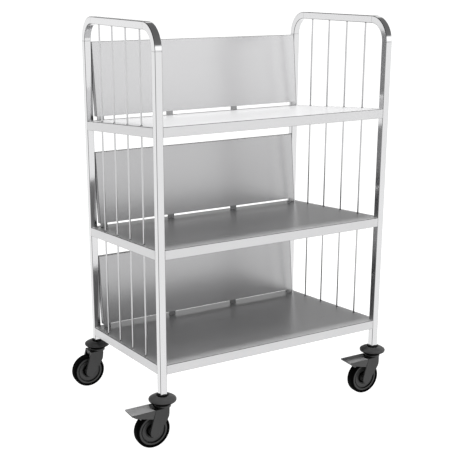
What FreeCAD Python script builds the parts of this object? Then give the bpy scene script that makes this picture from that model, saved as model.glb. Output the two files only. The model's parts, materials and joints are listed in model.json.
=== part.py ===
import FreeCAD, Part
import math
import os

os.makedirs("parts", exist_ok=True)

V = FreeCAD.Vector

# All lengths are in millimetres. +Z is up, the long open side faces -Y and the
# floor is z = 0. The origin is under the middle of the overall bounding box.

# Cart frame
WIDTH = 920.0
DEPTH = 600.0
HEIGHT = 1409.0
TUBE = 25.0
TUBE_WALL = 1.5
TUBE_CORNER = 1.5
BEND_R = 75.0
POST_FOOT_Z = 185.0

# The casters trail towards -X, so the frame's middle is off the origin.
PEDAL_REACH = 126.0
DISC_R = 48.0
FRAME_X = (PEDAL_REACH - DISC_R) / 2.0

# End rods
ROD_R = 3.0
ROD_COUNT = 4
ROD_PITCH = 110.0
ROD_TAIL = 4.0
ROD_HOLE_R = 3.25

# Shelves: folded sheet that falls towards the back
SHEET = 1.2
SHELF_FRONT_Z = {"bottom": 289.4, "middle": 689.4, "top": 1089.4}
SHELF_SLOPE = 5.25
SHELF_LIP = 33.0
SHELF_BACK_INSET = 5.0
BACK_NOTCH_CLEAR = 0.3

# Back panels: sheet folded back along its top and ends, with four tabs that pass through slots
# in the shelf
PANEL_SHEET = 1.0
PANEL_LEAN = 6.2
PANEL_HEIGHT = 266.0
PANEL_FLANGE = 22.0
PANEL_FOLD_R = 1.5
PANEL_GAP = 15.6
PANEL_FOOT_Y = 246.0
PANEL_END_CLEAR = 0.6
TAB_WIDTH = 28.0
TAB_PITCH = 280.0
TAB_COUNT = 4
TAB_TAIL = 1.5
SLOT_FREE_HEIGHT = 2.1

# Casters
WHEEL_R = 62.5
TYRE_HALF = 16.0
TYRE_INNER_R = 52.0
TRAIL = 42.0
AXLE_R = 5.0
STEM_R = 6.0
RUNNING = 0.05
LEG_OUT = 29.0
LEG_IN = 19.0
LEG_END_R = 17.5
CROWN_TOP = 143.0
CROWN_UNDER = 127.5
COLLAR_TOP = 149.9
COLLAR_R = 29.0

# Brake pedal, in the caster's own x and z
PIVOT_X = -30.0
PIVOT_Z = 132.0
PIVOT_PIN_R = 2.5
PEDAL_PLATE = 5.0
PEDAL_SKIRT = 3.0
PEDAL_PRESS = 4.0
SHOE_GAP = 0.35

CORNERS = {
    "front_left": (-1, -1, True),
    "front_right": (1, -1, True),
    "back_left": (-1, 1, False),
    "back_right": (1, 1, False),
}


def box(x0, x1, y0, y1, z0, z1):
    """Axis-aligned box from its limits."""
    return Part.makeBox(x1 - x0, y1 - y0, z1 - z0, V(x0, y0, z0))


def rod(radius, z0, z1, x=0.0, y=0.0):
    """Upright cylinder."""
    return Part.makeCylinder(radius, z1 - z0, V(x, y, z0), V(0, 0, 1))


def cross_pin(radius, y0, y1, x, z):
    """Cylinder along Y."""
    return Part.makeCylinder(radius, y1 - y0, V(x, y0, z), V(0, 1, 0))


def prism_y(points, y0, y1):
    """Prism along Y from an outline of (x, z) points."""
    ring = [V(x, y0, z) for x, z in points]
    wire = Part.makePolygon(ring + [ring[0]])
    return Part.Face(wire).extrude(V(0, y1 - y0, 0))


def turned(profile, upright=True):
    """Solid of revolution about Z from (r, z) points, or about Y from (r, y) points."""
    if upright:
        ring = [V(r, 0, t) for r, t in profile]
        axis = V(0, 0, 1)
    else:
        ring = [V(r, t, 0) for r, t in profile]
        axis = V(0, 1, 0)
    wire = Part.makePolygon(ring + [ring[0]])
    return Part.Face(wire).revolve(V(0, 0, 0), axis, 360)


def fuse(shapes):
    """One solid from touching or overlapping solids."""
    body = shapes[0].multiFuse(shapes[1:])
    return body.removeSplitter()


def save(name, shape):
    """Write one named piece, checked to be a single closed solid."""
    if len(shape.Solids) != 1 or not shape.isValid():
        raise ValueError(name + " is not one valid solid")
    shape.Solids[0].exportStep("parts/" + name + ".step")


def square_face(half, corner, centre):
    """Horizontal square face with rounded corners."""
    x0 = centre.x - half
    y0 = centre.y - half
    side = 2.0 * half
    slab = Part.makeBox(side, side, 1.0, V(x0, y0, centre.z))
    if corner > 0:
        upright = [e for e in slab.Edges if abs(e.BoundBox.ZLength - 1.0) < 1e-6]
        slab = slab.makeFillet(corner, upright)
    base = [f for f in slab.Faces if f.normalAt(0, 0).z < -0.9]
    return base[0]


def tube_path(half, corner, x):
    """Solid swept by a square section up one post, over the top and down the other."""
    y_post = DEPTH / 2.0 - TUBE / 2.0
    z_rail = HEIGHT - TUBE / 2.0
    z_bend = z_rail - BEND_R
    y_bend = y_post - BEND_R
    pieces = []
    for side in (-1, 1):
        foot = square_face(half, corner, V(x, side * y_post, POST_FOOT_Z))
        pieces.append(foot.extrude(V(0, 0, z_bend - POST_FOOT_Z)))
        top = square_face(half, corner, V(x, side * y_post, z_bend))
        hub = V(x, side * y_bend, z_bend)
        pieces.append(top.revolve(hub, V(side, 0, 0), 90))
    rail = square_face(half, corner, V(x, 0, 0))
    rail.rotate(V(x, 0, 0), V(1, 0, 0), 90)
    rail.translate(V(0, y_bend, z_rail))
    pieces.append(rail.extrude(V(0, -2.0 * y_bend, 0)))
    return fuse(pieces)


def end_frame(side):
    """Inverted U of square tube, open at both feet."""
    x = FRAME_X + side * (WIDTH / 2.0 - TUBE / 2.0)
    outer = tube_path(TUBE / 2.0, TUBE_CORNER, x)
    inner = tube_path(TUBE / 2.0 - TUBE_WALL, 0.0, x)
    return outer.cut(inner)


def shelf_plane_z(front_z, y):
    """Height of a shelf's top surface at a given y."""
    return front_z - (y + DEPTH / 2.0) * math.tan(math.radians(SHELF_SLOPE))


def sloped_slab(front_z, above, below):
    """Oversized slab parallel to a shelf, from below to above its top surface."""
    slab = Part.makeBox(1400.0, 1000.0, above - below, V(-700.0, -200.0, below))
    slab.rotate(V(0, 0, 0), V(1, 0, 0), -SHELF_SLOPE)
    slab.translate(V(FRAME_X, -DEPTH / 2.0, front_z))
    return slab


def rod_places():
    """The (x, y) centre of every end rod, keyed by its name."""
    places = {}
    first = -ROD_PITCH * (ROD_COUNT - 1) / 2.0
    for name, side in (("left", -1), ("right", 1)):
        x = FRAME_X + side * (WIDTH / 2.0 - TUBE / 2.0)
        for i in range(ROD_COUNT):
            places[name + "_rod_" + str(i + 1)] = (x, first + i * ROD_PITCH)
    return places


def tab_places():
    """The x of each tab's middle, from the frame's own middle."""
    first = -TAB_PITCH * (TAB_COUNT - 1) / 2.0
    return [first + i * TAB_PITCH for i in range(TAB_COUNT)]


def panel_foot_z(front_z):
    """Height of a back panel's lower edge, between its tabs."""
    return shelf_plane_z(front_z, PANEL_FOOT_Y) + PANEL_GAP


def tab_slots(front_z):
    """Boxes square to the shelf that clear the slightly leaning tabs."""
    slope = math.radians(SHELF_SLOPE)
    lean = math.tan(math.radians(PANEL_LEAN - SHELF_SLOPE))
    dy = PANEL_FOOT_Y + DEPTH / 2.0
    dz = panel_foot_z(front_z) - front_z
    along = dy * math.cos(slope) - dz * math.sin(slope)
    above = dy * math.sin(slope) + dz * math.cos(slope)
    near = along - (above + SHEET) * lean
    far = along - (above - SLOT_FREE_HEIGHT) * lean + PANEL_SHEET + 0.01
    slots = []
    for x in tab_places():
        slot = Part.makeBox(TAB_WIDTH, far - near, 12.0, V(x - TAB_WIDTH / 2.0, near, -6.0))
        slot.rotate(V(0, 0, 0), V(1, 0, 0), -SHELF_SLOPE)
        slot.translate(V(FRAME_X, -DEPTH / 2.0, front_z))
        slots.append(slot)
    return slots


def shelf(front_z):
    """Sheet tray, lips down, notched round the posts, holed for the rods and slotted for the tabs."""
    x0 = FRAME_X - WIDTH / 2.0
    x1 = FRAME_X + WIDTH / 2.0
    y0 = -DEPTH / 2.0
    y1 = DEPTH / 2.0
    back = y1 - SHELF_BACK_INSET
    z0 = front_z - 200.0
    z1 = front_z + 50.0
    tray = box(x0, x1, y0, back, z0, z1).common(sloped_slab(front_z, 0.0, -SHELF_LIP))
    hollow = box(x0 + SHEET, x1 - SHEET, y0 + SHEET, back - SHEET, z0, z1)
    tray = tray.cut(hollow.common(sloped_slab(front_z, -SHEET, -SHELF_LIP - 5.0)))
    for xs in ((x0 - 1.0, x0 + TUBE), (x1 - TUBE, x1 + 1.0)):
        for ys in ((y0 - 1.0, y0 + TUBE), (y1 - TUBE - BACK_NOTCH_CLEAR, y1 + 1.0)):
            tray = tray.cut(box(xs[0], xs[1], ys[0], ys[1], z0, z1))
    for x, y in rod_places().values():
        tray = tray.cut(rod(ROD_HOLE_R, z0, z1, x, y))
    for slot in tab_slots(front_z):
        tray = tray.cut(slot)
    return tray


def folds(block, half):
    """Edges where a panel's front, ends and top meet."""
    chosen = []
    for edge in block.Edges:
        middle = edge.CenterOfMass
        at_end = abs(abs(middle.x) - half) < 0.01
        at_front = abs(middle.y) < 0.01
        at_top = abs(middle.z - PANEL_HEIGHT) < 0.01
        if [at_end, at_front, at_top].count(True) == 2 and abs(middle.z) > 0.01:
            chosen.append(edge)
    return [edge for edge in chosen if edge.CenterOfMass.y < PANEL_FLANGE - 0.01]


def back_panel(front_z):
    """Leaning sheet between the back posts, folded back at its rim, with tabs down through the shelf."""
    half = WIDTH / 2.0 - TUBE - PANEL_END_CLEAR
    outer = box(-half, half, 0.0, PANEL_FLANGE, 0.0, PANEL_HEIGHT)
    outer = outer.makeFillet(PANEL_FOLD_R, folds(outer, half))
    inside = box(PANEL_SHEET - half, half - PANEL_SHEET, PANEL_SHEET, 2.0 * PANEL_FLANGE, -1.0,
                 PANEL_HEIGHT - PANEL_SHEET)
    sheet = outer.cut(inside)
    tabs = []
    for x in tab_places():
        tabs.append(box(x - TAB_WIDTH / 2.0, x + TAB_WIDTH / 2.0, 0.0, PANEL_SHEET, -PANEL_GAP - 5.0, 1.0))
    panel = fuse([sheet] + tabs)
    panel.rotate(V(0, 0, 0), V(1, 0, 0), -PANEL_LEAN)
    panel.translate(V(FRAME_X, PANEL_FOOT_Y, panel_foot_z(front_z)))
    return panel.cut(sloped_slab(front_z, -SHEET - TAB_TAIL, -60.0))


def bumper():
    """Round wall bumper: a shallow dome with a recess for the post's foot."""
    profile = [
        (STEM_R, 153.0),
        (32.0, 153.0),
        (33.0, 157.0),
        (43.0, 160.0),
        (47.0, 163.0),
        (DISC_R, 166.0),
        (46.8, 169.0),
        (40.0, 173.2),
        (32.0, 177.2),
        (24.0, 180.0),
        (20.0, 180.0),
        (20.0, 175.0),
        (STEM_R, 175.0),
    ]
    return turned(profile)


def socket():
    """Plug pressed up the post, with a round flange that carries the post's end."""
    half = TUBE / 2.0 - TUBE_WALL
    plug = box(-half, half, -half, half, POST_FOOT_Z, 228.0)
    flange = rod(17.0, 175.0, POST_FOOT_Z)
    return fuse([plug, flange]).cut(rod(STEM_R, 170.0, 230.0))


def stem():
    """Kingpin with a collar over the fork and a head under it."""
    return fuse([rod(STEM_R, 130.0, 228.0), rod(13.0, 150.0, 153.0), rod(9.0, 128.5, 131.9)])


def leg_outline():
    """Side outline of a fork leg, from the crown down to its round end."""
    points = [(-37.8, CROWN_TOP), (-40.0, 135.0), (-58.9, 67.0)]
    for deg in range(195, 325, 10):
        a = math.radians(deg)
        points.append((-TRAIL + LEG_END_R * math.cos(a), WHEEL_R + LEG_END_R * math.sin(a)))
    points += [(-25.5, 60.0), (0.0, 94.0), (6.5, 104.0), (10.5, 113.0), (12.0, 122.0)]
    points += [(12.0, 139.0), (9.0, CROWN_TOP)]
    return points


def fork(braked):
    """Swivel fork: a crown with two legs that trail to the axle."""
    outline = leg_outline()
    near = prism_y(outline, -LEG_OUT, -LEG_IN)
    far = prism_y(outline, LEG_IN, LEG_OUT)
    back = -18.0 if braked else -38.0
    crown = box(back, 12.0, -LEG_IN, LEG_IN, CROWN_UNDER, CROWN_TOP)
    brow = rod(56.6, CROWN_UNDER, CROWN_TOP - 3.0, -36.6, 0.0)
    brow = brow.common(box(11.0, 30.0, -27.0, 27.0, CROWN_UNDER, CROWN_TOP))
    collar = rod(COLLAR_R, CROWN_TOP - 2.0, COLLAR_TOP)
    collar = collar.makeFillet(1.5, [e for e in collar.Edges if e.BoundBox.ZMin > COLLAR_TOP - 0.1])
    if braked:
        collar = collar.cut(box(-40.0, -18.0, -LEG_IN, LEG_IN, CROWN_TOP - 4.0, CROWN_TOP + 1.0))
    body = fuse([near, far, crown, brow, collar])
    body = body.cut(rod(STEM_R + RUNNING, CROWN_UNDER - 1.0, COLLAR_TOP + 1.0))
    body = body.cut(rod(10.0, CROWN_UNDER - 1.0, 132.0))
    body = body.cut(cross_pin(AXLE_R, -LEG_OUT + 3.0, LEG_OUT + 1.0, -TRAIL, WHEEL_R))
    if braked:
        body = body.cut(cross_pin(PIVOT_PIN_R, -LEG_OUT + 3.0, LEG_OUT + 1.0, PIVOT_X, PIVOT_Z))
    return body


def axle():
    """Plain wheel axle held in both legs."""
    return cross_pin(AXLE_R, -LEG_OUT + 3.0, LEG_OUT, -TRAIL, WHEEL_R)


def pedal_pin():
    """Plain pivot pin of the brake pedal."""
    return cross_pin(PIVOT_PIN_R, -LEG_OUT + 3.0, LEG_OUT, PIVOT_X, PIVOT_Z)


def rim():
    """Wheel centre: hub, recessed web, groove and a proud outer ring."""
    half = [(AXLE_R + RUNNING, 17.5), (14.0, 17.5), (15.0, 16.5), (16.5, 6.0), (25.0, 6.0), (27.0, 9.0)]
    half += [(40.0, 10.0), (41.0, 6.5), (44.0, 6.5), (44.8, 13.3), (51.0, 13.3), (TYRE_INNER_R, 12.6)]
    mirrored = [(r, -t) for r, t in reversed(half)]
    return wheel_place(turned(half + mirrored, upright=False))


def tyre():
    """Solid tyre with rounded shoulders."""
    half = [(TYRE_INNER_R, 12.6), (53.0, 14.6), (56.0, 15.8), (58.5, TYRE_HALF), (60.6, 14.8)]
    half += [(61.9, 12.4), (WHEEL_R, 9.0)]
    mirrored = [(r, -t) for r, t in reversed(half)]
    return wheel_place(turned(half + mirrored, upright=False))


def wheel_place(shape):
    """Move a part turned about the Y axis onto the caster's axle."""
    shape.translate(V(-TRAIL, 0, WHEEL_R))
    return shape


def pressed_tyre_bore():
    """Cylinder that clears the tyre when the pedal is fully down, as seen from the pedal at rest."""
    turn = math.radians(-PEDAL_PRESS)
    dx = -TRAIL - PIVOT_X
    dz = WHEEL_R - PIVOT_Z
    x = PIVOT_X + dx * math.cos(turn) - dz * math.sin(turn)
    z = PIVOT_Z + dx * math.sin(turn) + dz * math.cos(turn)
    return cross_pin(WHEEL_R + SHOE_GAP, -20.0, 20.0, x, z)


def pedal():
    """Foot brake: plate with side skirts, a hub on the pivot pin and a shoe over the tyre."""
    top = CROWN_TOP
    tip = -PEDAL_REACH
    skirt = [(tip, top), (tip, top - 4.5), (tip + 16.0, 128.5), (-48.6, 112.5), (-42.2, 132.0), (-39.0, top)]
    plate = box(tip, -41.8, -LEG_OUT, LEG_OUT, top - PEDAL_PLATE, top)
    neck = box(-50.0, PIVOT_X, -LEG_IN + 0.6, LEG_IN - 0.6, top - 9.0, top - 0.6)
    hub = cross_pin(6.5, -LEG_IN + 0.6, LEG_IN - 0.6, PIVOT_X, PIVOT_Z)
    shoe = box(-88.0, -64.0, -13.0, 13.0, 105.0, top - 1.0)
    shoe = shoe.cut(pressed_tyre_bore())
    near = prism_y(skirt, -LEG_OUT, -LEG_OUT + PEDAL_SKIRT)
    far = prism_y(skirt, LEG_OUT - PEDAL_SKIRT, LEG_OUT)
    nose = prism_y(skirt[:3] + [(tip + 16.0, top)], -LEG_OUT, LEG_OUT)
    body = fuse([plate, neck, hub, shoe, near, far, nose])
    return body.cut(cross_pin(PIVOT_PIN_R + RUNNING, -20.0, 20.0, PIVOT_X, PIVOT_Z))


def caster(braked):
    """Every piece of one caster, about its own swivel axis."""
    pieces = {
        "bumper": bumper(),
        "socket": socket(),
        "stem": stem(),
        "fork": fork(braked),
        "axle": axle(),
        "rim": rim(),
        "tyre": tyre(),
    }
    if braked:
        pieces["pedal"] = pedal()
        pieces["pedal_pin"] = pedal_pin()
    return pieces


save("left_end_frame", end_frame(-1))
save("right_end_frame", end_frame(1))

for rod_name, (rod_x, rod_y) in rod_places().items():
    foot = shelf_plane_z(SHELF_FRONT_Z["bottom"], rod_y) - ROD_TAIL
    save(rod_name, rod(ROD_R, foot, HEIGHT - TUBE, rod_x, rod_y))

for level, level_z in SHELF_FRONT_Z.items():
    save(level + "_shelf", shelf(level_z))
    save(level + "_back_panel", back_panel(level_z))

for corner, (side_x, side_y, has_brake) in CORNERS.items():
    corner_x = FRAME_X + side_x * (WIDTH / 2.0 - TUBE / 2.0)
    corner_y = side_y * (DEPTH / 2.0 - TUBE / 2.0)
    for piece, solid in caster(has_brake).items():
        solid.translate(V(corner_x, corner_y, 0))
        save(corner + "_" + piece, solid)
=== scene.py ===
import bpy
import bmesh
import json
import math
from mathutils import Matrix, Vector


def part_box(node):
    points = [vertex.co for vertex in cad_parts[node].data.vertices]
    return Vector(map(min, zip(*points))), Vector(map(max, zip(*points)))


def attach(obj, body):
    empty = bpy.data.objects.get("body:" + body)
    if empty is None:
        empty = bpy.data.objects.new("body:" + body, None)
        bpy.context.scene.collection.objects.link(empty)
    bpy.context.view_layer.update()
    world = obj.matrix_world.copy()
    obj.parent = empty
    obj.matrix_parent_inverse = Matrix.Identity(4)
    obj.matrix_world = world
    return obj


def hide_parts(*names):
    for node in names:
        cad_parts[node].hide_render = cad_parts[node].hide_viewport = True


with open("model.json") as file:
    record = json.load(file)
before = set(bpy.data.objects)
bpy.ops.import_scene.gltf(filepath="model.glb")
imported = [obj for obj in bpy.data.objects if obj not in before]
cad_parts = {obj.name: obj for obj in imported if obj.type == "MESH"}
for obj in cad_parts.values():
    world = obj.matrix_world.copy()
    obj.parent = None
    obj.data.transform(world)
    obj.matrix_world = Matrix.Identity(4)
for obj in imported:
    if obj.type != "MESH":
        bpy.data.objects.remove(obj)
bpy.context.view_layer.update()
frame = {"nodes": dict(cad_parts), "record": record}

NODES = frame["nodes"]
MM = 0.001

# Sizes in metres, as in the CAD. The places come from the frame's boxes.
TUBE = 25 * MM
TUBE_WALL = 1.5 * MM
TUBE_CORNER = 2.0 * MM
BEND_R = 75 * MM
BEND_STEPS = 24
JOINT_GROOVE = 0.4 * MM
JOINT_WIDTH = 0.7 * MM
SHELF_TAN = math.tan(math.radians(5.25))
LIP = 33.1 * MM
SHEET = 1.2 * MM
FOLD_R = 2.4 * MM
PANEL_LEAN = math.radians(6.2)
PANEL_SHEET = 1.0 * MM
PANEL_GAP = 15.6 * MM
PANEL_HEIGHT = 266 * MM
PANEL_FOOT_Y = 246 * MM
PANEL_FLANGE = 22 * MM
PANEL_FOLD_R = 1.5 * MM
EDGE_BAND = 1.5 * MM      # width of the band of painted dark shade along a panel's rim
SOFT_EDGE = 0.3 * MM      # rounding of a panel's cut edges
LIP_SHADE_BAND = 1.2 * MM            # height of the band of painted dark shade at the foot of a shelf's lip
TAB_TAIL = 1.5 * MM
TAB_WIDTH = 28 * MM
TAB_PITCH = 280 * MM
ROD_R = 3 * MM
ROD_CHAMFER = 0.4 * MM
BEAD = 1.7 * MM           # weld fillet round a rod
TAB_BEAD = 1.5 * MM       # weld bead along a tab
TAB_RIPPLES = 14

# Caster sizes in millimetres, about the swivel axis and the axle
WHEEL_R = 62.5
TRAIL = 42.0
LEG_IN = 19.0
LEG_OUT = 29.0
LEG_END_R = 17.5
CROWN_TOP = 143.0
CROWN_UNDER = 127.5
COLLAR_TOP = 149.9
PEDAL_TIP = -126.0
PIVOT = (-30.0, 132.0)
PEDAL_PRESS = 4.0         # degrees
SHOE_GAP = 0.35           # between shoe and tyre at full press
PEDAL_SIDE = 0.8          # between the pedal's middle and each fork leg
PEDAL_SKIRT = 3.0
BUMPER_SHADE_LINE = 165.9    # below this height the disc is painted near black, as shade on its rim's side and underside
RECESS = (15.0, 23.0)     # radii of the ring round the hub painted near black as the shade in its recess
RECESS_FACE = 8.4         # faces nearer the wheel's middle plane belong to the recess and take its painted shade
PEDAL_TOP_FLAT = 0.97         # least upward normal of the pedal's top faces that take the lighter grey

LEVELS = ("bottom", "middle", "top")
CORNERS = ("front_left", "front_right", "back_left", "back_right")

# Studio: grey levels of the sky by height of the direction, ahead of and behind the cart's open side
SKY_FRONT = [(0.0, 1.5), (0.03, 1.6), (0.06, 2.1), (0.23, 2.1), (0.34, 0.25), (1.0, 0.2)]
SKY_BEHIND = [(0.0, 1.45), (0.02, 1.3), (0.06, 0.12), (0.28, 0.12), (0.34, 1.2), (0.47, 1.2),
              (0.58, 0.25), (1.0, 0.2)]
SKY_LEFT, SKY_RIGHT = 0.2, 1.3
FLOOR_HALF = 60.0
FLOOR_GLOW = 1.1
DOME_R = 58.0
LAMP_SIZE = 1.8
LAMP_WATTS = 1900.0
LAMP_AT = (0.0, -0.25, 5.5)
CAMERA_AT = (-1.6787, -2.9130, 1.5399)
CAMERA_YAW, CAMERA_PITCH = 29.373, 15.482
CAMERA_LENS = 73.68
CAMERA_SHIFT = (0.0285, 0.0174)


# ---------------------------------------------------------------- materials
def new_material(name):
    """An empty node material with its Principled shader and output."""
    mat = bpy.data.materials.new(name)
    mat.use_nodes = True
    tree = mat.node_tree
    tree.nodes.clear()
    out = tree.nodes.new("ShaderNodeOutputMaterial")
    shader = tree.nodes.new("ShaderNodeBsdfPrincipled")
    tree.links.new(shader.outputs[0], out.inputs[0])
    return mat, tree, shader


def object_coords(tree, scale):
    """Object coordinates stretched by a scale vector."""
    coord = tree.nodes.new("ShaderNodeTexCoord")
    mapping = tree.nodes.new("ShaderNodeMapping")
    mapping.inputs["Scale"].default_value = scale
    tree.links.new(coord.outputs["Object"], mapping.inputs["Vector"])
    return mapping.outputs[0]


def noise(tree, vector, scale, detail, rough=0.55):
    """Noise value, about 0.5 with most of it between 0.25 and 0.75."""
    node = tree.nodes.new("ShaderNodeTexNoise")
    node.inputs["Scale"].default_value = scale
    node.inputs["Detail"].default_value = detail
    node.inputs["Roughness"].default_value = rough
    tree.links.new(vector, node.inputs["Vector"])
    return node.outputs["Fac"]


def span(tree, value, low, high, start=0.25, end=0.75):
    """Maps a value from start..end to low..high, clamped."""
    node = tree.nodes.new("ShaderNodeMapRange")
    node.inputs["From Min"].default_value = start
    node.inputs["From Max"].default_value = end
    node.inputs["To Min"].default_value = low
    node.inputs["To Max"].default_value = high
    tree.links.new(value, node.inputs["Value"])
    return node.outputs[0]


def tint(tree, value, dark, light):
    """Colour from dark to light by a 0 to 1 value; light may be a socket."""
    node = tree.nodes.new("ShaderNodeMix")
    node.data_type = "RGBA"
    for socket, colour in ((node.inputs[6], dark), (node.inputs[7], light)):
        if isinstance(colour, tuple):
            socket.default_value = (*colour, 1.0)
        else:
            tree.links.new(colour, socket)
    tree.links.new(value, node.inputs[0])
    return node.outputs[2]


def math_node(tree, kind, first, second):
    """A Math node's result; each input is a number or a socket."""
    node = tree.nodes.new("ShaderNodeMath")
    node.operation = kind
    for socket, value in zip(node.inputs, (first, second)):
        if isinstance(value, float):
            socket.default_value = value
        else:
            tree.links.new(value, socket)
    return node.outputs[0]


def bump(tree, height, distance, below=None):
    """A normal raised by height times distance, over another normal if one is given."""
    node = tree.nodes.new("ShaderNodeBump")
    node.inputs["Strength"].default_value = 1.0
    node.inputs["Distance"].default_value = distance
    tree.links.new(height, node.inputs["Height"])
    if below is not None:
        tree.links.new(below, node.inputs["Normal"])
    return node.outputs[0]


def steel(name, tones, rough, grain, metallic, edge_shade_and_joint_tone, line_depth, wave_depth):
    """Stainless steel: fine lines along one axis, slow clouds, faint waviness, and a dark tone painted along
    edges and joints: painted shade on corners, folds and rod fillets, and darker weld beads and joint lines.

    The mesh attribute that masks this dark tone is 1 on folds and corners and 0 on the flats.
    """
    mat, tree, shader = new_material(name)
    shader.inputs["Metallic"].default_value = metallic
    shader.inputs["IOR"].default_value = 1.5
    lines = noise(tree, object_coords(tree, grain), scale=1.0, detail=4.0, rough=0.6)
    clouds = noise(tree, object_coords(tree, (1.0, 1.0, 1.0)), scale=7.0, detail=3.0)
    waves = noise(tree, object_coords(tree, (1.0, 1.0, 1.0)), scale=3.0, detail=1.0)
    edge_shade_and_joints = tree.nodes.new("ShaderNodeAttribute")
    edge_shade_and_joints.attribute_name = "edge_shade_and_joints"
    fine = math_node(tree, "MULTIPLY", lines, 0.6)
    broad = math_node(tree, "MULTIPLY", clouds, 0.4)
    mixed = math_node(tree, "ADD", fine, broad)
    plain = tint(tree, span(tree, mixed, 0.0, 1.0, 0.3, 0.7), *tones)
    # Painted shade: the mask darkens corners, folds and rod fillets towards the dark edge tone; weld beads and
    # joint lines take the same tone.
    colour = tint(tree, edge_shade_and_joints.outputs["Fac"], plain, edge_shade_and_joint_tone)
    tree.links.new(colour, shader.inputs["Base Color"])
    tree.links.new(span(tree, mixed, rough[0], rough[1], 0.3, 0.7), shader.inputs["Roughness"])
    slow = bump(tree, waves, wave_depth)
    tree.links.new(bump(tree, lines, line_depth, slow), shader.inputs["Normal"])
    return mat


def plastic(name, tones, rough, grain_depth, specular, scuff_tone):
    """Moulded plastic: a fine spark-eroded grain, uneven tone and a few pale scuffs."""
    mat, tree, shader = new_material(name)
    shader.inputs["Specular IOR Level"].default_value = specular
    plain = object_coords(tree, (1.0, 1.0, 1.0))
    grain = noise(tree, plain, scale=1400.0, detail=2.0)
    clouds = noise(tree, plain, scale=40.0, detail=3.0)
    scuffs = noise(tree, object_coords(tree, (1.0, 1.0, 6.0)), scale=90.0, detail=5.0, rough=0.7)
    base = tint(tree, span(tree, clouds, 0.0, 1.0), *tones)
    worn = span(tree, scuffs, 0.0, 1.0, 0.66, 0.74)
    tree.links.new(tint(tree, worn, base, scuff_tone), shader.inputs["Base Color"])
    tree.links.new(span(tree, clouds, rough[0], rough[1]), shader.inputs["Roughness"])
    tree.links.new(bump(tree, grain, grain_depth), shader.inputs["Normal"])
    return mat


def grey(level):
    """A grey with a trace of blue."""
    return (level, level, level * 1.01)


ALONG_Z, ALONG_X, EVEN = (700, 700, 5), (5, 800, 800), (300, 300, 300)

# Each steel's dark edge tone is painted shade on corners and folds, and the tone of darker welds and joint
# lines.
SHEET_STEEL = dict(grain=ALONG_X, edge_shade_and_joint_tone=grey(0.07), line_depth=0.000002, wave_depth=0.00002)
PLASTIC = dict(tones=(grey(0.014), grey(0.019)), rough=(0.42, 0.5), grain_depth=0.00003, specular=0.4,
               scuff_tone=grey(0.03))
# Near-black rubber for the tyres; the same near black is painted as shade on the bumpers' lower rims and in
# the hub recesses.
RUBBER_AND_SHADE_BLACK = dict(tones=(grey(0.001), grey(0.002)), rough=(0.55, 0.7), grain_depth=0.00004, specular=0.01,
              scuff_tone=grey(0.004))

MATERIALS = {
    "polished_tube": steel("polished_tube", tones=(grey(0.50), grey(0.53)), rough=(0.08, 0.14), grain=ALONG_Z,
                           metallic=1.0, edge_shade_and_joint_tone=grey(0.06), line_depth=0.000004, wave_depth=0.00002),
    # The rods take a darker copy of the tube steel: painted shade for the thin rods.
    "rod_steel_painted_shade": steel("rod_steel_painted_shade", tones=(grey(0.40), grey(0.44)), rough=(0.10, 0.16),
                          grain=(500, 500, 5), metallic=1.0, edge_shade_and_joint_tone=grey(0.08), line_depth=0.000004,
                          wave_depth=0.00001),
    "shelf_sheet": steel("shelf_sheet", tones=(grey(0.46), grey(0.49)), rough=(0.27, 0.32), metallic=0.8,
                         **SHEET_STEEL),
    "panel_sheet": steel("panel_sheet", tones=(grey(0.33), grey(0.35)), rough=(0.24, 0.27), metallic=0.86,
                         **SHEET_STEEL),
    "bumper_plastic": plastic("bumper_plastic", **PLASTIC),
    "socket_plastic": plastic("socket_plastic", tones=(grey(0.004), grey(0.006)), rough=(0.5, 0.6),
                              grain_depth=0.00003, specular=0.1, scuff_tone=grey(0.01)),
    "fork_plastic": plastic("fork_plastic", **PLASTIC),
    "pedal_plastic": plastic("pedal_plastic", tones=(grey(0.015), grey(0.02)), rough=(0.34, 0.4),
                             grain_depth=0.00002, specular=0.5, scuff_tone=grey(0.03)),
    # A lighter grey for the pedal's up-facing top faces.
    "pedal_top_grey": plastic("pedal_top_grey", tones=(grey(0.055), grey(0.07)), rough=(0.4, 0.5),
                           grain_depth=0.00003, specular=0.4, scuff_tone=grey(0.09)),
    "rim_plastic": plastic("rim_plastic", **PLASTIC),
    "tyre": plastic("tyre", **RUBBER_AND_SHADE_BLACK),
    # Painted shade: near black for the bumper's rim side and underside.
    "bumper_painted_shade": plastic("bumper_painted_shade", **RUBBER_AND_SHADE_BLACK),
    # Painted shade: near black for a ring in the wheel's hub recess.
    "hub_recess_painted_shade": plastic("hub_recess_painted_shade", **RUBBER_AND_SHADE_BLACK),
    "pin_steel": steel("pin_steel", tones=(grey(0.5), grey(0.6)), rough=(0.25, 0.35), grain=EVEN, metallic=1.0,
                       edge_shade_and_joint_tone=grey(0.3), line_depth=0.00001, wave_depth=0.00001),
}


def paint_cad_nodes():
    """Give each CAD node the finish of its record slot."""
    slots = {s["node"]: s["material_slot"] for s in frame["record"]["subparts"]}
    for name, obj in NODES.items():
        obj.data.materials.clear()
        obj.data.materials.append(MATERIALS[slots[name]])


# ---------------------------------------------------------------- mesh tools
def new_object(name, verts, faces, edge_shade_and_joints=None):
    """A mesh object in the scene; the last argument fills a point attribute of its own name, the mask of
    painted edge shade and dark joints.
    """
    mesh = bpy.data.meshes.new(name)
    mesh.from_pydata([tuple(v) for v in verts], [], faces)
    if edge_shade_and_joints is not None:
        mesh.attributes.new("edge_shade_and_joints", "FLOAT", "POINT").data.foreach_set("value", edge_shade_and_joints)
    obj = bpy.data.objects.new(name, mesh)
    bpy.context.scene.collection.objects.link(obj)
    return obj


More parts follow.
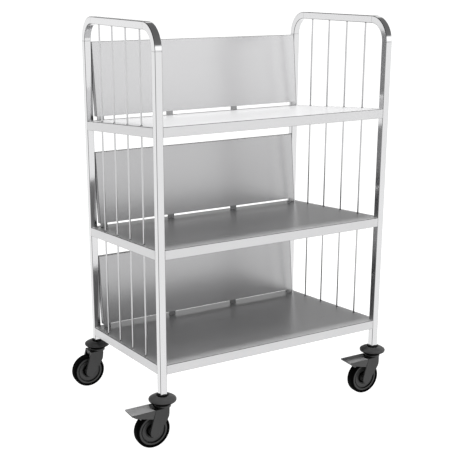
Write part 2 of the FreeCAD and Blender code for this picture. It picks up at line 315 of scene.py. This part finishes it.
def face_outwards(obj):
    """Turn every face's normal outwards."""
    bm = bmesh.new()
    bm.from_mesh(obj.data)
    bmesh.ops.recalc_face_normals(bm, faces=bm.faces)
    bm.to_mesh(obj.data)
    bm.free()


def settle(obj):
    """Replace an object's mesh by the result of its modifiers."""
    graph = bpy.context.evaluated_depsgraph_get()
    mesh = bpy.data.meshes.new_from_object(obj.evaluated_get(graph))
    obj.modifiers.clear()
    old = obj.data
    obj.data = mesh
    bpy.data.meshes.remove(old)


def fit_out(obj, body, slot, *replaced, sharp=38.0, finish=None):
    """Shade a finished piece, give it its material and body, and hide the node it stands for."""
    mesh = obj.data
    mesh.materials.clear()
    mesh.materials.append(MATERIALS[finish or slot])
    mesh.polygons.foreach_set("use_smooth", [True] * len(mesh.polygons))
    mesh.set_sharp_from_angle(angle=math.radians(sharp))
    normals = obj.modifiers.new("normals", "WEIGHTED_NORMAL")
    normals.keep_sharp = True
    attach(obj, body)
    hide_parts(*replaced)
    return obj


def second_finish(obj, name, chosen):
    """Give the faces for which chosen(centre, normal) holds another finish."""
    obj.data.materials.append(MATERIALS[name])
    for face in obj.data.polygons:
        if chosen(face.center, face.normal):
            face.material_index = 1


def ring_faces(rings, count, closed):
    """Quads between neighbouring rings of count points each."""
    faces = []
    last = rings if closed else rings - 1
    for i in range(last):
        a = i * count
        b = ((i + 1) % rings) * count
        for k in range(count):
            n = (k + 1) % count
            faces.append((a + k, a + n, b + n, b + k))
    return faces


def rounded(points, radius, steps=4):
    """A closed outline with each corner replaced by a short curve."""
    result = []
    count = len(points)
    for i, corner in enumerate(points):
        here = Vector(corner)
        back = Vector(points[i - 1]) - here
        ahead = Vector(points[(i + 1) % count]) - here
        start = here + back.normalized() * min(radius, back.length * 0.45)
        end = here + ahead.normalized() * min(radius, ahead.length * 0.45)
        for k in range(steps + 1):
            t = k / steps
            result.append(tuple(start * (1 - t) ** 2 + here * 2 * t * (1 - t) + end * t * t))
    return result


def lathe(profile, steps, upright):
    """Vertices and faces of a closed (r, t) profile turned about Z, or about Y."""
    verts = []
    for i in range(steps):
        a = 2 * math.pi * i / steps
        c, s = math.cos(a), math.sin(a)
        for r, t in profile:
            verts.append((r * c, r * s, t) if upright else (r * c, t, r * s))
    return verts, ring_faces(steps, len(profile), True)


def arc(cx, cz, radius, first, last, steps):
    """Points of an arc in degrees, both ends included."""
    points = []
    for k in range(steps + 1):
        a = math.radians(first + (last - first) * k / steps)
        points.append((cx + radius * math.cos(a), cz + radius * math.sin(a)))
    return points


def prism_faces(n):
    """Two caps and the sides between an outline's n points and their copies."""
    faces = [tuple(range(n)), tuple(range(2 * n - 1, n - 1, -1))]
    return faces + [(k, k + n, (k + 1) % n + n, (k + 1) % n) for k in range(n)]


def prism(outline, y0, y1):
    """Vertices and faces of an (x, z) outline carried from y0 to y1."""
    verts = [(x, y0, z) for x, z in outline] + [(x, y1, z) for x, z in outline]
    return verts, prism_faces(len(outline))


def standing(plan, z0, z1):
    """Vertices and faces of an (x, y) outline carried from z0 to z1."""
    verts = [(x, y, z0) for x, y in plan] + [(x, y, z1) for x, y in plan]
    return verts, prism_faces(len(plan))


def joined(parts):
    """One vertex and face list from several."""
    verts, faces = [], []
    for part_verts, part_faces in parts:
        base = len(verts)
        verts += part_verts
        faces += [tuple(base + k for k in face) for face in part_faces]
    return verts, faces


# ---------------------------------------------------------------- end frames and rods
def square_section(half, corner, steps=4):
    """Rounded square (u, v) and how near each point is to the middle of a corner."""
    points, edge_shade_and_joints = [], []
    for quarter in range(4):
        turn = math.radians(90 * quarter)
        for k in range(steps + 1):
            a = math.pi / 2 * k / steps
            u = half - corner + corner * math.cos(a)
            v = half - corner + corner * math.sin(a)
            points.append((u * math.cos(turn) - v * math.sin(turn), u * math.sin(turn) + v * math.cos(turn)))
            # Painted shade: the middle of each corner is marked for the dark edge tone.
            edge_shade_and_joints.append(math.sin(2 * a))
    return points, edge_shade_and_joints


def frame_path(low, high):
    """(y, z, angle, inset) of each ring up one post, over the rail and down the other."""
    post = high[1] - TUBE / 2
    hub_y = post - BEND_R
    hub_z = high[2] - TUBE / 2 - BEND_R
    groove = [(-JOINT_WIDTH, 0.0), (0.0, JOINT_GROOVE), (JOINT_WIDTH, 0.0)]
    path = [(-post, low[2], math.pi, 0.0)]
    path += [(-post, hub_z + step, math.pi, inset) for step, inset in groove]
    for k in range(1, BEND_STEPS):
        a = math.pi - math.pi / 2 * k / BEND_STEPS
        path.append((-hub_y + BEND_R * math.cos(a), hub_z + BEND_R * math.sin(a), a, 0.0))
    path += [(-hub_y + step, hub_z + BEND_R, math.pi / 2, inset) for step, inset in groove]
    return path + [(-y, z, math.pi - a, inset) for y, z, a, inset in reversed(path)]


def end_frame(side):
    """Bent square tube, an inverted U, hollow, with a fine joint line at each end of its bends."""
    node = side + "_end_frame"
    low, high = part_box(node)
    x = (low[0] + high[0]) / 2
    path = frame_path(low, high)
    verts, edge_shade_and_joints = [], []
    for half, corner, rings in ((TUBE / 2, TUBE_CORNER, path),
                                (TUBE / 2 - TUBE_WALL, TUBE_CORNER / 3, list(reversed(path)))):
        section, near = square_section(half, corner)
        for y, z, a, inset in rings:
            shrink = 1 - inset / half if half == TUBE / 2 else 1.0
            for (u, v), mark in zip(section, near):
                verts.append((x + u * shrink, y + v * shrink * math.cos(a), z + v * shrink * math.sin(a)))
                # Painted shade along the tube's corners; the joint grooves take the dark tone in full as dark
                # joint lines.
                edge_shade_and_joints.append(1.0 if inset else mark)
    obj = new_object(side + "_end_frame_tube", verts, ring_faces(2 * len(path), len(section), True), edge_shade_and_joints)
    face_outwards(obj)
    return fit_out(obj, "cart", "polished_tube", node)


def shelf_height(level, y):
    """Height of a shelf's sloping top surface at y."""
    low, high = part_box(level + "_shelf")
    return high[2] - (y - low[1]) * SHELF_TAN


def end_rod(node):
    """Round rod with a weld fillet under the rail and on each shelf."""
    low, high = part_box(node)
    x, y = (low[0] + high[0]) / 2, (low[1] + high[1]) / 2
    rings = [(0.0, low[2], 0.0), (ROD_R - ROD_CHAMFER, low[2], 0.0), (ROD_R, low[2] + ROD_CHAMFER, 0.0)]
    for level in LEVELS:
        z = shelf_height(level, y)
        rings += [(ROD_R, z - 1.5 * MM, 1.0), (ROD_R + BEAD, z - 0.2 * MM, 1.0)]
        rings += [(ROD_R + 0.4 * BEAD, z + 0.6 * BEAD, 1.0), (ROD_R, z + 1.3 * BEAD, 1.0)]
    top = high[2]
    rings += [(ROD_R, top - 1.3 * BEAD, 0.0), (ROD_R + 0.4 * BEAD, top - 0.6 * BEAD, 0.0)]
    rings += [(ROD_R + BEAD, top, 0.0), (0.0, top, 0.0)]
    steps = 24
    verts, edge_shade_and_joints = [], []
    for r, z, tilt in rings:
        for k in range(steps):
            a = 2 * math.pi * k / steps
            dy = r * math.sin(a)
            verts.append((x + r * math.cos(a), y + dy, z - tilt * dy * SHELF_TAN))
            # Painted shade: the weld fillets at the shelves and under the rail are marked for the dark edge
            # tone.
            edge_shade_and_joints.append(1.0 if r > ROD_R + 0.1 * BEAD else 0.0)
    obj = new_object(node + "_bar", verts, ring_faces(len(rings), steps, False), edge_shade_and_joints)
    bm = bmesh.new()
    bm.from_mesh(obj.data)
    bmesh.ops.remove_doubles(bm, verts=bm.verts, dist=1e-6)
    bmesh.ops.dissolve_degenerate(bm, edges=bm.edges, dist=1e-7)
    bmesh.ops.recalc_face_normals(bm, faces=bm.faces)
    bm.to_mesh(obj.data)
    bm.free()
    return fit_out(obj, "cart", "polished_tube", node, finish="rod_steel_painted_shade")


# ---------------------------------------------------------------- shelves and back panels
def shelf(level):
    """Folded sheet tray: a sloping top, a fold along each side and lips, with painted dark shade along the
    folds and a band at the foot of each lip.
    """
    node = level + "_shelf"
    low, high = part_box(node)
    x0, y0, x1, y1 = low[0], low[1], high[0], high[1]
    notch = -y0 - TUBE
    xs = (x0 + FOLD_R, x0 + TUBE, x1 - TUBE, x1 - FOLD_R)
    ys = (y0 + FOLD_R, y0 + TUBE, notch, y1 - FOLD_R)
    verts, faces, edge_shade_and_joints, index = [], [], [], {}

    def point(x, y, drop, mark=0.0):
        key = (round(x, 6), round(y, 6), round(drop, 6))
        if key not in index:
            index[key] = len(verts)
            verts.append((x, y, shelf_height(level, y) - drop))
            edge_shade_and_joints.append(mark)
        return index[key]

    for i, j in ((1, 0), (0, 1), (1, 1), (2, 1), (1, 2)):
        corners = ((xs[i], ys[j]), (xs[i + 1], ys[j]), (xs[i + 1], ys[j + 1]), (xs[i], ys[j + 1]))
        faces.append(tuple(point(x, y, 0.0) for x, y in corners))

    steps = 5
    # Painted shade: the middle of each fold, and a band at the foot of each lip, are marked for the dark edge
    # tone.
    fold = []
    for k in range(steps + 1):
        a = math.pi / 2 * k / steps
        fold.append((FOLD_R * math.sin(a), FOLD_R * (1 - math.cos(a)), math.sin(2 * a)))
    fold += [(FOLD_R, LIP - LIP_SHADE_BAND, 0.0), (FOLD_R, LIP, 0.9)]
    for along, fixed, out in (("x", ys[0], -1), ("x", ys[3], 1), ("y", xs[0], -1), ("y", xs[3], 1)):
        ends = (xs[1], xs[2]) if along == "x" else (ys[1], ys[2])
        rows = []
        for reach, drop, mark in fold:
            if along == "x":
                rows.append([point(e, fixed + out * reach, drop, mark) for e in ends])
            else:
                rows.append([point(fixed + out * reach, e, drop, mark) for e in ends])
        for (a, b), (c, d) in zip(rows, rows[1:]):
            flip = (along == "x") == (out < 0)
            faces.append((a, c, d, b) if flip else (a, b, d, c))
    obj = new_object(level + "_shelf_sheet", verts, faces, edge_shade_and_joints)
    solid = obj.modifiers.new("sheet", "SOLIDIFY")
    solid.thickness = SHEET
    solid.offset = -1.0
    settle(obj)
    face_outwards(obj)
    return fit_out(obj, "cart", "shelf_sheet", node)


def tab_places(x):
    """The middle of each of the four tabs under a panel whose middle is at x."""
    return [x + (i - 1.5) * TAB_PITCH for i in range(4)]


def on_panel(level, x, v, back=0.0):
    """A point at x, at v up the face of a back panel from its lower edge, and back behind the face."""
    foot_z = shelf_height(level, PANEL_FOOT_Y) + PANEL_GAP
    c, s = math.cos(PANEL_LEAN), math.sin(PANEL_LEAN)
    return (x, PANEL_FOOT_Y + v * s + back * c, foot_z + v * c - back * s)


def below_panel(drop):
    """Distance down a back panel's face from its lower edge to a level drop under the deck."""
    return -(PANEL_GAP + drop) / (math.cos(PANEL_LEAN) + math.sin(PANEL_LEAN) * SHELF_TAN)


def back_panel(level):
    """Leaning sheet folded back along its top and ends, with four tabs down through the shelf."""
    node = level + "_back_panel"
    low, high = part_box(node)
    cuts = [low[0]]
    for x in tab_places((low[0] + high[0]) / 2):
        cuts += [x - TAB_WIDTH / 2, x + TAB_WIDTH / 2]
    cuts.append(high[0])
    verts = [on_panel(level, x, 0.0) for x in cuts]
    verts += [on_panel(level, x, PANEL_HEIGHT) for x in cuts]
    verts += [on_panel(level, x, PANEL_HEIGHT, PANEL_FLANGE) for x in cuts]
    verts += [on_panel(level, x, 0.0, PANEL_FLANGE) for x in (cuts[0], cuts[-1])]
    n = len(cuts)
    faces = [(k, k + 1, k + 1 + n, k + n) for k in range(n - 1)]
    faces += [(k + n, k + 1 + n, k + 1 + 2 * n, k + 2 * n) for k in range(n - 1)]
    faces += [(0, n, 2 * n, 3 * n), (n - 1, 3 * n + 1, 3 * n - 1, 2 * n - 1)]
    folds = {(k + n, k + 1 + n) for k in range(n - 1)}
    folds |= {(0, n), (n - 1, 2 * n - 1), (n, 2 * n), (2 * n - 1, 3 * n - 1)}
    tail = below_panel(SHEET + TAB_TAIL)
    for k in range(1, n - 1, 2):
        base = len(verts)
        verts += [on_panel(level, cuts[k], tail), on_panel(level, cuts[k + 1], tail)]
        faces.append((base, base + 1, k + 1, k))
    obj = new_object(level + "_back_panel_sheet", verts, faces)
    bm = bmesh.new()
    bm.from_mesh(obj.data)
    rim = [e for e in bm.edges if tuple(sorted(v.index for v in e.verts)) in folds]
    bmesh.ops.bevel(bm, geom=rim, offset=PANEL_FOLD_R, segments=4, profile=0.5, affect="EDGES")
    # Cuts along the rim keep the painted dark edge shade in a narrow band.
    up = (0.0, math.sin(PANEL_LEAN), math.cos(PANEL_LEAN))
    rear = (0.0, math.cos(PANEL_LEAN), -math.sin(PANEL_LEAN))
    near = PANEL_FOLD_R + EDGE_BAND
    planes = [(on_panel(level, 0.0, EDGE_BAND), up), (on_panel(level, 0.0, PANEL_HEIGHT - near), up),
              (on_panel(level, cuts[0] + near, 0.0), (1.0, 0.0, 0.0)),
              (on_panel(level, cuts[-1] - near, 0.0), (1.0, 0.0, 0.0)),
              (on_panel(level, 0.0, 0.0, near), rear),
              (on_panel(level, 0.0, 0.0, PANEL_FLANGE - EDGE_BAND), rear)]
    for where, across in planes:
        geom = bm.verts[:] + bm.edges[:] + bm.faces[:]
        bmesh.ops.bisect_plane(bm, geom=geom, plane_co=where, plane_no=across)
    bm.to_mesh(obj.data)
    bm.free()
    solid = obj.modifiers.new("sheet", "SOLIDIFY")
    solid.thickness = PANEL_SHEET
    solid.offset = -1.0
    soft = obj.modifiers.new("edges", "BEVEL")
    soft.width = SOFT_EDGE
    soft.segments = 2
    soft.limit_method = "ANGLE"
    soft.angle_limit = math.radians(50)
    settle(obj)
    face_outwards(obj)
    # Painted shade: folds and cut edges are marked for the dark edge tone.
    mark_edges(obj)
    return fit_out(obj, "cart", "panel_sheet", node)


def mark_edges(obj):
    """Fill the mask of painted edge shade from the angle between the faces at each vertex."""
    mesh = obj.data
    bm = bmesh.new()
    bm.from_mesh(mesh)
    bm.normal_update()
    values = []
    for vert in bm.verts:
        turns = [e.calc_face_angle(0.0) for e in vert.link_edges]
        values.append(min(1.0, max(turns) / math.radians(40)))
    bm.free()
    mesh.attributes.new("edge_shade_and_joints", "FLOAT", "POINT").data.foreach_set("value", values)


def tab_welds(level):
    """A rippled weld bead along the foot of each tab."""
    low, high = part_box(level + "_back_panel")
    _, foot_y, foot_z = on_panel(level, 0.0, below_panel(0.0))
    parts = []
    rings, points = 29, 8
    for middle in tab_places((low[0] + high[0]) / 2):
        verts = []
        for i in range(rings):
            t = i / (rings - 1)
            swell = math.sin(math.pi * t) ** 0.25 if 0 < t < 1 else 0.0
            ripple = 0.88 + 0.12 * math.cos(TAB_RIPPLES * 2 * math.pi * t)
            size = TAB_BEAD * swell * ripple + 0.02 * MM
            x = middle + (t - 0.5) * (TAB_WIDTH - 4 * MM)
            for k in range(points):
                a = 2 * math.pi * k / points
                verts.append((x, foot_y + 0.1 * MM + size * math.cos(a), foot_z + size * math.sin(a)))
        faces = ring_faces(rings, points, False)
        faces.append(tuple(range(points - 1, -1, -1)))
        faces.append(tuple(range((rings - 1) * points, rings * points)))
        parts.append((verts, faces))
    verts, faces = joined(parts)
    # The weld beads take the dark edge tone at 0.7.
    obj = new_object(level + "_tab_welds", verts, faces, [0.7] * len(verts))
    face_outwards(obj)
    return fit_out(obj, "cart", "panel_sheet", sharp=60.0)


# ---------------------------------------------------------------- casters
def caster_axis(corner):
    """The x and y of a caster's swivel axis."""
    low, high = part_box(corner + "_stem")
    return (low[0] + high[0]) / 2, (low[1] + high[1]) / 2


def place(corner, verts, along=0.0, up=0.0):
    """Points in millimetres about the swivel axis, carried to the cart's own frame in metres."""
    cx, cy = caster_axis(corner)
    return [(cx + (x + along) * MM, cy + y * MM, (z + up) * MM) for x, y, z in verts]


def bumper(corner):
    """Round wall bumper: a shallow dome with a rolled rim and a recess for the post's foot."""
    outline = [(6, 153), (32, 153), (33, 157), (43, 160), (47, 162.2), (48, 165.6), (47.2, 168.6),
               (40, 173.2), (32, 177.2), (25, 180), (20, 180), (20, 175), (6, 175)]
    verts, faces = lathe(rounded(outline, 2.2), 128, True)
    obj = new_object(corner + "_bumper_disc", place(corner, verts), faces)
    face_outwards(obj)
    fit_out(obj, "cart", "bumper_plastic", corner + "_bumper", sharp=50.0)
    # Painted shade: faces below the shade line are painted near black.
    second_finish(obj, "bumper_painted_shade", lambda centre, normal: centre.z < BUMPER_SHADE_LINE * MM)
    return obj


def both_sides(half):
    """A wheel profile and its mirror image in the wheel's middle plane."""
    return half + [(r, -t) for r, t in reversed(half)]


def rim(corner):
    """Wheel centre: hub, dished web, groove and a proud outer ring."""
    half = [(5.05, 17.5), (14, 17.5), (15.4, 16), (16.8, 6), (24.5, 6), (27, 9), (40, 10), (41.2, 6.5),
            (43.8, 6.5), (44.9, 13.3), (51, 13.3), (52, 12.4)]
    verts, faces = lathe(rounded(both_sides(half), 0.9, 3), 128, False)
    obj = new_object(corner + "_rim_moulding", place(corner, verts, -TRAIL, WHEEL_R), faces)
    face_outwards(obj)
    fit_out(obj, corner + "_wheel", "rim_plastic", corner + "_rim", sharp=50.0)
    cx, cy = caster_axis(corner)
    hub = Vector((cx - TRAIL * MM, cy, WHEEL_R * MM))

    def in_recess(centre, normal):
        out = centre - hub
        reach = math.hypot(out.x, out.z)
        return RECESS[0] * MM < reach < RECESS[1] * MM and abs(out.y) < RECESS_FACE * MM

    # Painted shade: a ring in the hub recess is painted near black.
    second_finish(obj, "hub_recess_painted_shade", in_recess)
    return obj


def tyre(corner):
    """Solid tyre with round shoulders and a shallow flat tread."""
    half = [(52, 12.4), (53, 14.6), (56, 15.8), (58.5, 16), (60.8, 14.4), (62.1, 11.5), (62.5, 7)]
    verts, faces = lathe(rounded(both_sides(half), 1.6, 3), 144, False)
    obj = new_object(corner + "_tyre_tread", place(corner, verts, -TRAIL, WHEEL_R), faces)
    face_outwards(obj)
    return fit_out(obj, corner + "_wheel", "tyre", corner + "_tyre", sharp=50.0)


def moulding(name, corner, parts, voxel, passes, thin):
    """One smooth moulding from overlapping closed shells."""
    verts, faces = joined(parts)
    obj = new_object(name, place(corner, verts), faces)
    face_outwards(obj)
    merge = obj.modifiers.new("merge", "REMESH")
    merge.mode = "VOXEL"
    merge.voxel_size = voxel * MM
    relax = obj.modifiers.new("relax", "SMOOTH")
    relax.factor = 0.5
    relax.iterations = passes
    fewer = obj.modifiers.new("fewer", "DECIMATE")
    fewer.ratio = thin
    settle(obj)
    return obj


def box_shell(x0, x1, y0, y1, z0, z1, radius):
    """Box with rounded plan corners."""
    return standing(rounded([(x0, y0), (x1, y0), (x1, y1), (x0, y1)], radius), z0, z1)


def leg_outline():
    """Side outline of a fork leg, from the crown down to its round end."""
    points = [(-37.8, CROWN_TOP), (-40, 135), (-58.9, 67)]
    points += arc(-TRAIL, WHEEL_R, LEG_END_R, 195, 315, 16)
    points += [(-25.5, 60), (0, 94), (6.5, 104), (10.5, 113), (12, 122), (12, 139), (9, CROWN_TOP)]
    return points


def fork(corner):
    """Swivel fork: collar, crown with a front brow, and two legs that trail to the axle."""
    braked = corner + "_pedal" in NODES
    outline = leg_outline()
    back = -18.0 if braked else -38.0
    brow = [(11.0, 27.0)] + [(-36.6 + x, y) for x, y in arc(0, 0, 56.6, 28, -28, 12)] + [(11.0, -27.0)]
    collar = rounded([(1, CROWN_TOP - 3), (29, CROWN_TOP - 3), (29, COLLAR_TOP), (1, COLLAR_TOP)], 1.5)
    parts = [
        prism(outline, -LEG_OUT, -LEG_IN),
        prism(outline, LEG_IN, LEG_OUT),
        box_shell(back, 12.0, -LEG_IN - 1, LEG_IN + 1, CROWN_UNDER, CROWN_TOP, 0.5),
        standing(brow, CROWN_UNDER, CROWN_TOP - 3),
        lathe(collar, 96, True),
    ]
    obj = moulding(corner + "_fork_moulding", corner, parts, voxel=0.6, passes=3, thin=0.2)
    return fit_out(obj, corner + "_caster", "fork_plastic", corner + "_fork", sharp=60.0)


def pedal(corner):
    """Foot brake: plate with side skirts, a hub on the pivot pin and a shoe over the tyre."""
    top, tip = CROWN_TOP, PEDAL_TIP
    skirt = [(tip, top), (tip, top - 4.5), (tip + 16, 128.5), (-48.6, 112.5), (-42.2, 132), (-39, top)]
    nose = skirt[:3] + [(tip + 16, top)]
    press = math.radians(-PEDAL_PRESS)
    dx, dz = -TRAIL - PIVOT[0], WHEEL_R - PIVOT[1]
    bore_x = PIVOT[0] + dx * math.cos(press) - dz * math.sin(press)
    bore_z = PIVOT[1] + dx * math.sin(press) + dz * math.cos(press)
    reach = WHEEL_R + SHOE_GAP
    under = [(x, bore_z + math.sqrt(reach ** 2 - (x - bore_x) ** 2)) for x in range(-88, -63, 4)]
    shoe = [(-88, top - 1)] + under + [(-64, top - 1)]
    hub = arc(PIVOT[0], PIVOT[1], 6.5, 0, 345, 23)
    parts = [
        box_shell(tip, -41.8, -LEG_OUT, LEG_OUT, top - 5, top, 1.0),
        box_shell(-50, PIVOT[0], -LEG_IN + PEDAL_SIDE, LEG_IN - PEDAL_SIDE, top - 9, top - 0.6, 0.5),
        prism(hub, -LEG_IN + PEDAL_SIDE, LEG_IN - PEDAL_SIDE),
        prism(shoe, -13, 13),
        prism(skirt, -LEG_OUT, -LEG_OUT + PEDAL_SKIRT),
        prism(skirt, LEG_OUT - PEDAL_SKIRT, LEG_OUT),
        prism(nose, -LEG_OUT, LEG_OUT),
    ]
    obj = moulding(corner + "_pedal_moulding", corner, parts, voxel=0.4, passes=2, thin=0.12)
    fit_out(obj, corner + "_brake", "pedal_plastic", corner + "_pedal", sharp=60.0)
    # The up-facing top faces take the lighter grey.
    pedal_top_z = (CROWN_TOP - 0.5) * MM
    second_finish(obj, "pedal_top_grey", lambda centre, normal: normal.z > PEDAL_TOP_FLAT and centre.z > pedal_top_z)
    return obj


# ---------------------------------------------------------------- studio
def sky_ramp(tree, height, stops):
    """Grey levels by the height of the direction, from the horizon at 0 to straight up at 1."""
    ramp = tree.nodes.new("ShaderNodeValToRGB")
    while len(ramp.color_ramp.elements) < len(stops):
        ramp.color_ramp.elements.new(0.5)
    for element, (where, level) in zip(ramp.color_ramp.elements, stops):
        element.position = where
        element.color = (level, level, level, 1.0)
    tree.links.new(height, ramp.inputs[0])
    return ramp.outputs[0]


def studio():
    """Pale floor, a pale dome that only the camera sees, a graded sky and one soft lamp overhead."""
    mat, tree, shader = new_material("studio_floor")
    shader.inputs["Roughness"].default_value = 1.0
    shader.inputs["Specular IOR Level"].default_value = 0.0
    shader.inputs["Base Color"].default_value = (0.03, 0.03, 0.03, 1.0)
    shader.inputs["Emission Color"].default_value = (1.0, 1.0, 1.0, 1.0)
    shader.inputs["Emission Strength"].default_value = FLOOR_GLOW
    corners = [(x * FLOOR_HALF, y * FLOOR_HALF, 0) for x, y in ((-1, -1), (1, -1), (1, 1), (-1, 1))]
    floor = new_object("studio_floor", corners, [(0, 1, 2, 3)])
    floor.data.materials.append(mat)
    floor.visible_glossy = False

    shell = arc(0.0, 0.0, DOME_R, 0.0, 90.0, 12) + arc(0.0, 0.0, DOME_R - 0.1, 90.0, 0.0, 12)
    verts, faces = lathe(shell, 48, True)
    dome = new_object("studio_dome", verts, faces)
    dome.data.materials.append(mat)
    for kind in ("diffuse", "glossy", "transmission", "shadow"):
        setattr(dome, "visible_" + kind, False)

    world = bpy.data.worlds.new("studio")
    bpy.context.scene.world = world
    world.use_nodes = True
    tree = world.node_tree
    tree.nodes.clear()
    out = tree.nodes.new("ShaderNodeOutputWorld")
    back = tree.nodes.new("ShaderNodeBackground")
    coord = tree.nodes.new("ShaderNodeTexCoord")
    split = tree.nodes.new("ShaderNodeSeparateXYZ")
    tree.links.new(coord.outputs["Generated"], split.inputs[0])
    front = sky_ramp(tree, split.outputs["Z"], SKY_FRONT)
    behind = sky_ramp(tree, split.outputs["Z"], SKY_BEHIND)
    mix = tree.nodes.new("ShaderNodeMix")
    mix.data_type = "RGBA"
    tree.links.new(span(tree, split.outputs["Y"], 0.0, 1.0, -0.15, 0.15), mix.inputs[0])
    tree.links.new(front, mix.inputs[6])
    tree.links.new(behind, mix.inputs[7])
    # Above the horizon the right side is brighter than the left.
    sides = span(tree, split.outputs["X"], SKY_LEFT, SKY_RIGHT, -0.9, 0.9)
    above = tree.nodes.new("ShaderNodeMix")
    tree.links.new(span(tree, split.outputs["Z"], 0.0, 1.0, 0.02, 0.06), above.inputs[0])
    above.inputs[2].default_value = 1.0
    tree.links.new(sides, above.inputs[3])
    gain = tree.nodes.new("ShaderNodeVectorMath")
    gain.operation = "SCALE"
    tree.links.new(mix.outputs[2], gain.inputs[0])
    tree.links.new(above.outputs[0], gain.inputs["Scale"])
    tree.links.new(gain.outputs[0], back.inputs[0])
    tree.links.new(back.outputs[0], out.inputs[0])

    light = bpy.data.lights.new("overhead", "AREA")
    light.shape = "DISK"
    light.size = LAMP_SIZE
    light.energy = LAMP_WATTS
    lamp = bpy.data.objects.new("overhead", light)
    lamp.location = LAMP_AT
    lamp.visible_glossy = False
    bpy.context.scene.collection.objects.link(lamp)


def camera():
    """The camera at the cart's front left, a little above its top rails."""
    data = bpy.data.cameras.new("camera")
    data.sensor_width = 36.0
    data.lens = CAMERA_LENS
    data.shift_x, data.shift_y = CAMERA_SHIFT
    data.clip_end = 200.0
    obj = bpy.data.objects.new("camera", data)
    obj.location = CAMERA_AT
    yaw, pitch = math.radians(CAMERA_YAW), math.radians(CAMERA_PITCH)
    obj.rotation_euler = (math.pi / 2 - pitch, 0.0, -yaw)
    bpy.context.scene.collection.objects.link(obj)
    bpy.context.scene.camera = obj


paint_cad_nodes()
for side in ("left", "right"):
    end_frame(side)
    for number in range(1, 5):
        end_rod(side + "_rod_" + str(number))
for level in LEVELS:
    shelf(level)
    back_panel(level)
    tab_welds(level)
for corner in CORNERS:
    bumper(corner)
    rim(corner)
    tyre(corner)
    fork(corner)
    if corner + "_pedal" in NODES:
        pedal(corner)
studio()
camera()
bpy.context.scene.view_settings.view_transform = "Standard"
